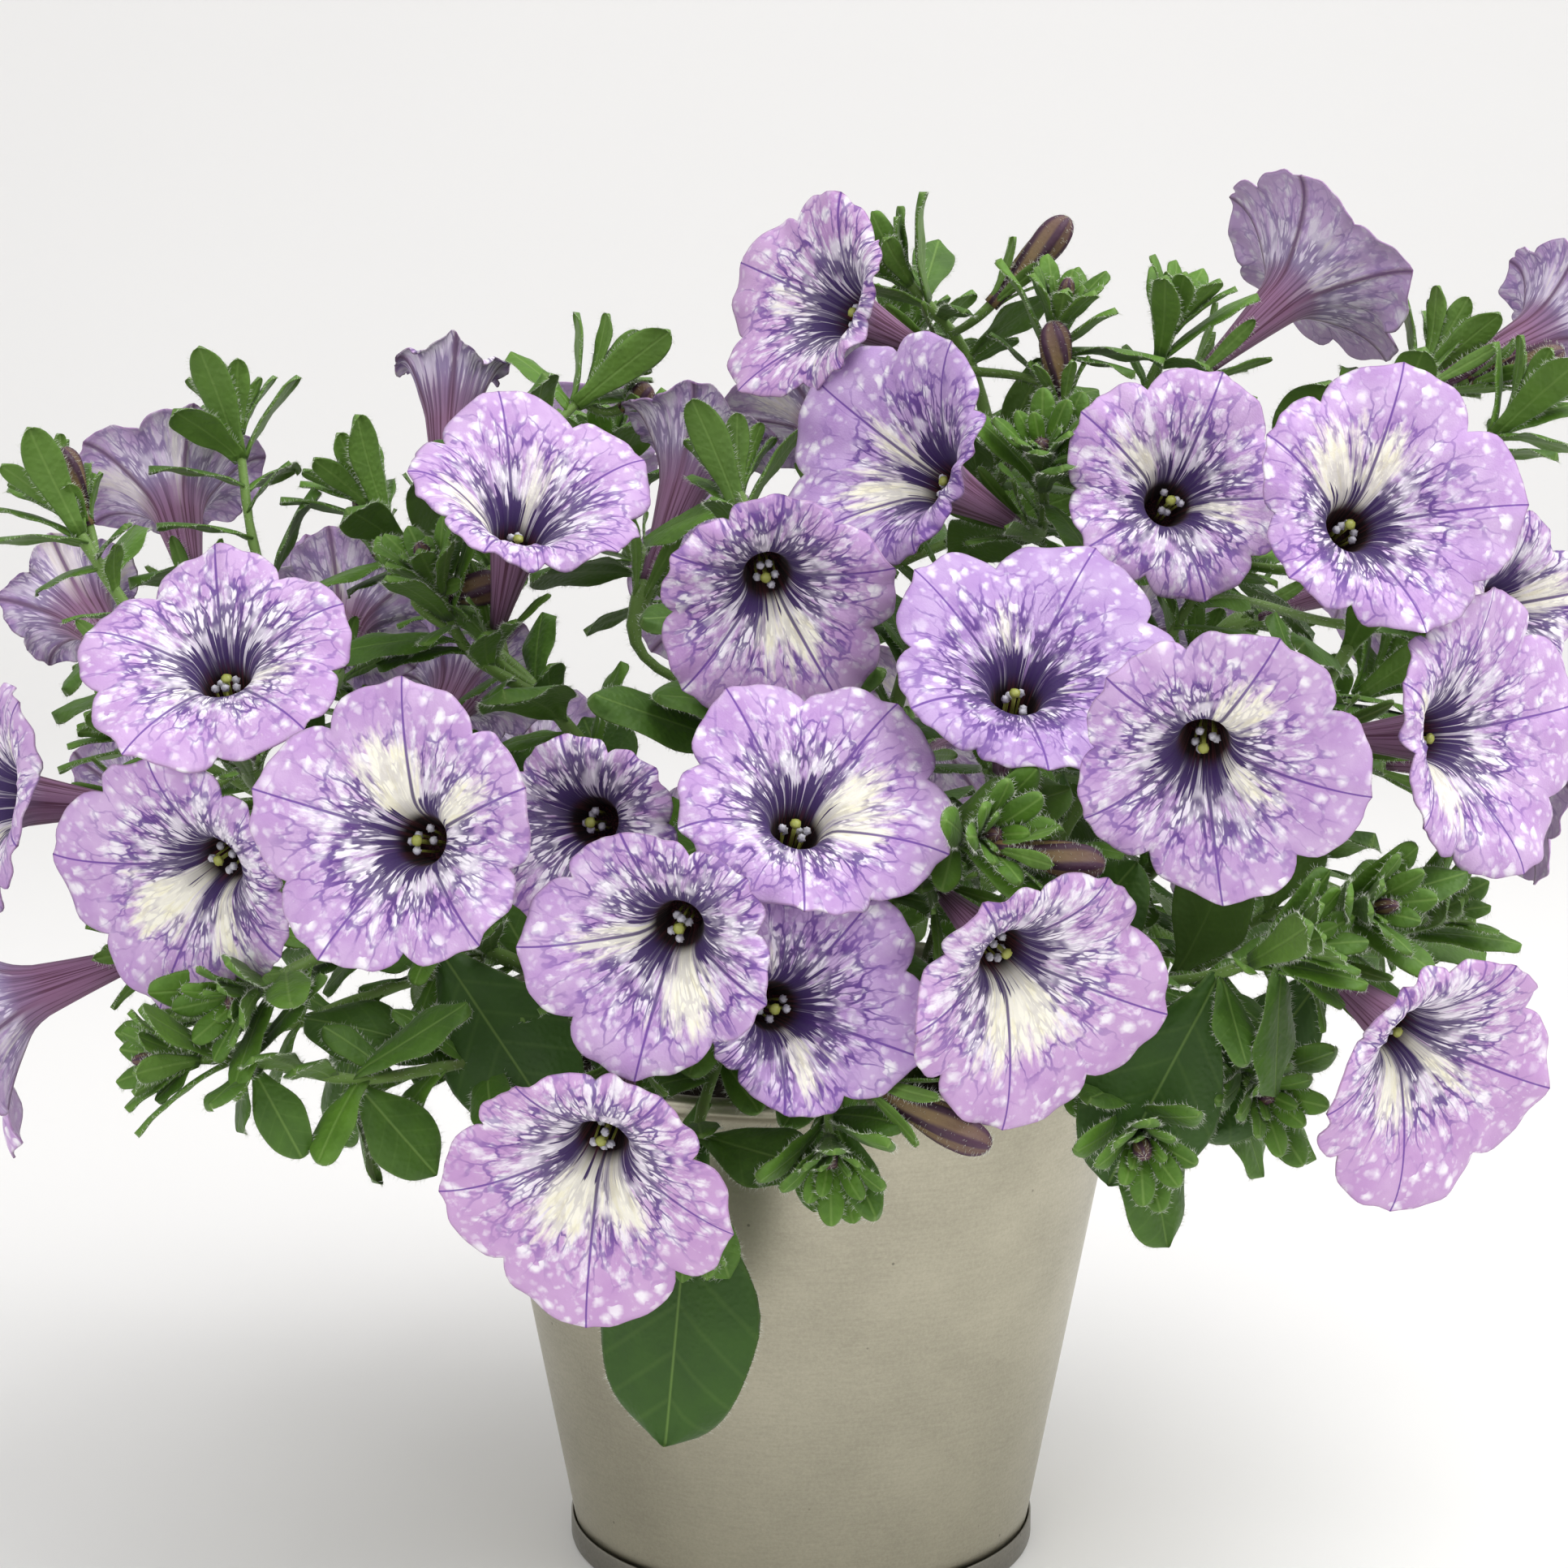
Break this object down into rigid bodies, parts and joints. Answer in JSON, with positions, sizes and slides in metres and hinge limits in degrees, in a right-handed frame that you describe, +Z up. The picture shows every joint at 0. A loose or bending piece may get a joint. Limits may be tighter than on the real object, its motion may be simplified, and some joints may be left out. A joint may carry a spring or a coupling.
{
  "type": "petunia in a metal pot",
  "caption": "Bushy petunia with ruffled, speckled lilac trumpet blooms and leafy, hairy shoots, growing from compost in a plain tapered zinc-coated steel pot with a rolled rim.",
  "frame": {"origin": "centre of the pot's underside, on the plane that the pot stands on", "axes": "+Z up along the pot's axis; the plant's fullest side looks along -Y; +X to the right seen from there, along the plant's greatest spread"},
  "size_m": [0.3748, 0.2824, 0.3147],
  "materials": {
    "zinc": "hot-dip zinc-coated steel sheet, dull with a fine grain",
    "compost": "crumbly peat-like potting compost",
    "leaf": "soft hairy leaf, matt to satin",
    "petal": "thin velvety petal, matt"
  },
  "bodies": {
    "root": {"pot_wall": "zinc", "pot_base": "zinc", "compost": "compost", "shoot_front": "leaf", "shoot_front_left": "leaf", "shoot_left": "leaf", "shoot_upper_left": "leaf", "shoot_upper": "leaf", "shoot_top": "leaf", "shoot_front_right": "leaf", "shoot_right": "leaf", "shoot_upper_right": "leaf", "shoot_back_left": "leaf", "shoot_back": "leaf", "shoot_back_right": "leaf", "shoot_back_top": "leaf", "bloom_01": "petal", "bloom_02": "petal", "bloom_03": "petal", "bloom_04": "petal", "bloom_05": "petal", "bloom_06": "petal", "bloom_07": "petal", "bloom_08": "petal", "bloom_09": "petal", "bloom_10": "petal", "bloom_11": "petal", "bloom_12": "petal", "bloom_13": "petal", "bloom_14": "petal", "bloom_15": "petal", "bloom_16": "petal", "bloom_17": "petal", "bloom_18": "petal", "bloom_19": "petal", "bloom_20": "petal", "bloom_21": "petal", "bloom_22": "petal", "bloom_23": "petal", "bloom_24": "petal", "bloom_25": "petal", "bloom_26": "petal", "bloom_27": "petal", "bloom_28": "petal", "bloom_29": "petal", "bloom_30": "petal", "bloom_31": "petal", "bloom_32": "petal", "bloom_33": "petal", "bloom_34": "petal", "bloom_35": "petal", "bloom_36": "petal", "bloom_37": "petal", "bloom_38": "petal", "bloom_39": "petal", "bloom_40": "petal", "bloom_41": "petal", "bloom_42": "petal", "bloom_43": "petal"}
  },
  "joints": []
}
